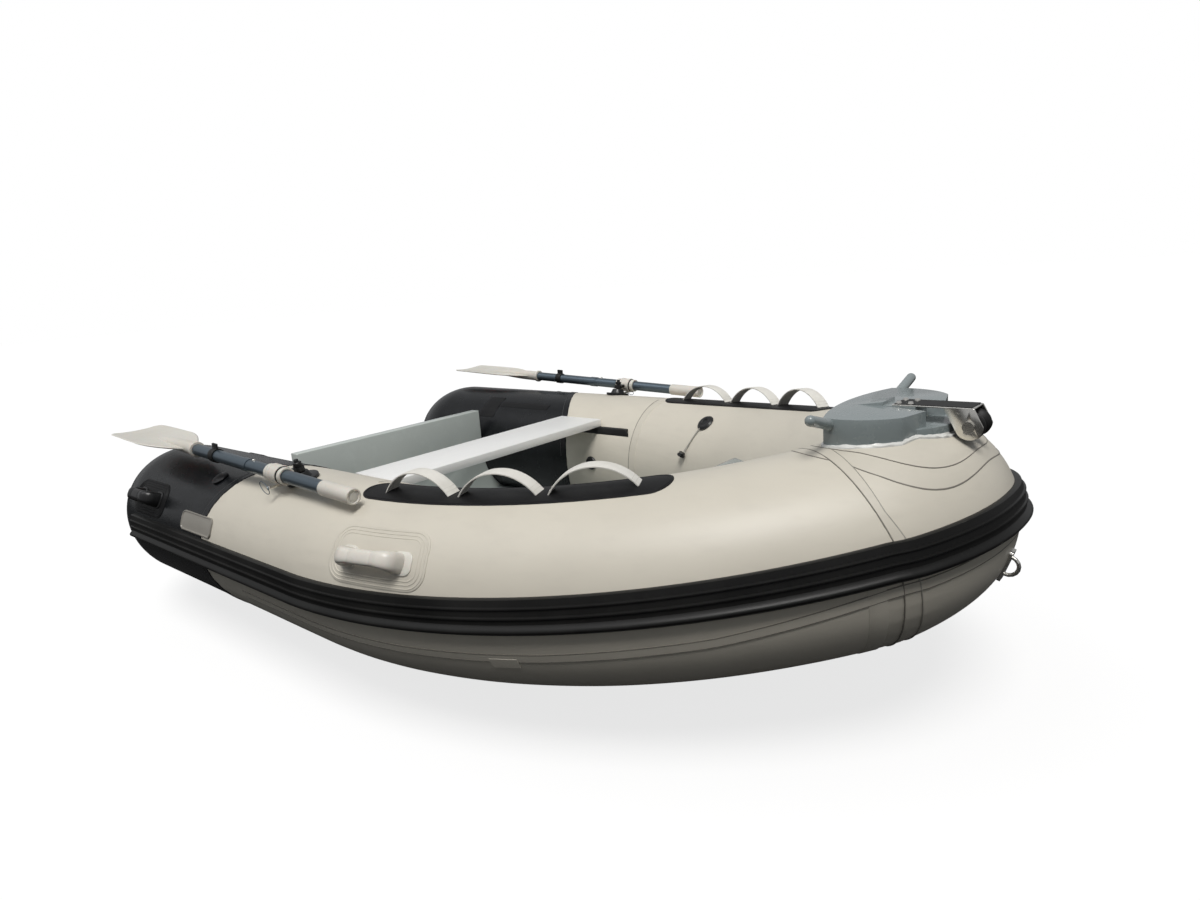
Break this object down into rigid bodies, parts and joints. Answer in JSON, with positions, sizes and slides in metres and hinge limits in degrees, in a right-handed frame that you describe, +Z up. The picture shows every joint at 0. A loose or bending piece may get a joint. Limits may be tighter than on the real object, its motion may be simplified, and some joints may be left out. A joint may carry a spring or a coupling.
{
  "type": "rigid inflatable boat",
  "caption": "Small rigid-hulled inflatable tender with swinging oars on its tubes, a thwart, grab handles and a bow step with an anchor roller.",
  "frame": {"origin": "on the floor under the middle of the boat's length and beam", "axes": "+X towards the bow, +Y to port, +Z up"},
  "size_m": [2.6354, 1.6778, 0.7033],
  "materials": {
    "pale_fabric": "satin",
    "black_fabric": "satin",
    "hull_grey": "satin",
    "step_grey": "satin",
    "strake_rubber": "satin",
    "black_rubber": "matt",
    "webbing_white": "woven",
    "white_plastic": "satin",
    "black_plastic": "satin",
    "stainless": "brushed",
    "silver_alloy": "satin",
    "grey_alloy": "anodised",
    "patch_grey": "satin"
  },
  "bodies": {
    "boat": {"hull_shell": "hull_grey", "deck": "hull_grey", "bow_locker": "hull_grey", "keel_band": "black_rubber", "transom": "hull_grey", "motor_pad": "black_plastic", "drain_bush": "black_plastic", "tow_eyes": "stainless", "thwart": "silver_alloy", "thwart_rails": "black_rubber", "tube_bow": "pale_fabric", "strake_bow": "strake_rubber", "bow_step": "step_grey", "mooring_horns": "step_grey", "roller_bracket": "stainless", "roller_axle": "stainless", "bow_eye": "stainless", "grab_patches": "black_fabric", "grab_handles": "webbing_white", "handle_patches": "patch_grey", "lift_handles": "white_plastic", "stern_handles": "black_plastic", "side_plates": "silver_alloy", "rowlock_bases": "black_rubber", "strap_keepers": "black_rubber", "valves": "black_plastic", "tube_stern_starboard": "black_fabric", "tube_side_starboard": "pale_fabric", "strake_starboard": "strake_rubber", "tube_stern_port": "black_fabric", "tube_side_port": "pale_fabric", "strake_port": "strake_rubber"},
    "anchor_roller": {"anchor_roller": "black_rubber"},
    "oar_starboard": {"rowlock_yoke_starboard": "black_plastic", "oar_shaft_starboard": "grey_alloy", "oar_collar_starboard": "white_plastic", "oar_grip_starboard": "white_plastic", "oar_blade_starboard": "white_plastic", "oar_strap_starboard": "black_rubber"},
    "oar_port": {"rowlock_yoke_port": "black_plastic", "oar_shaft_port": "grey_alloy", "oar_collar_port": "white_plastic", "oar_grip_port": "white_plastic", "oar_blade_port": "white_plastic", "oar_strap_port": "black_rubber"}
  },
  "joints": [
    {"name": "anchor_roller_spin", "type": "hinge", "parent": "boat", "child": "anchor_roller", "pos_m": [1.21429, 0, 0.6485], "axis": [0, 1, 0], "continuous": true},
    {"name": "oar_swing_starboard", "type": "hinge", "parent": "boat", "child": "oar_starboard", "pos_m": [-0.23271, -0.64908, 0.52937], "axis": [0, -0.2079, 0.9781], "range_deg": [0, 140]},
    {"name": "oar_swing_port", "type": "hinge", "parent": "boat", "child": "oar_port", "pos_m": [-0.23271, 0.64908, 0.52937], "axis": [0, -0.2079, -0.9781], "range_deg": [0, 140]}
  ]
}
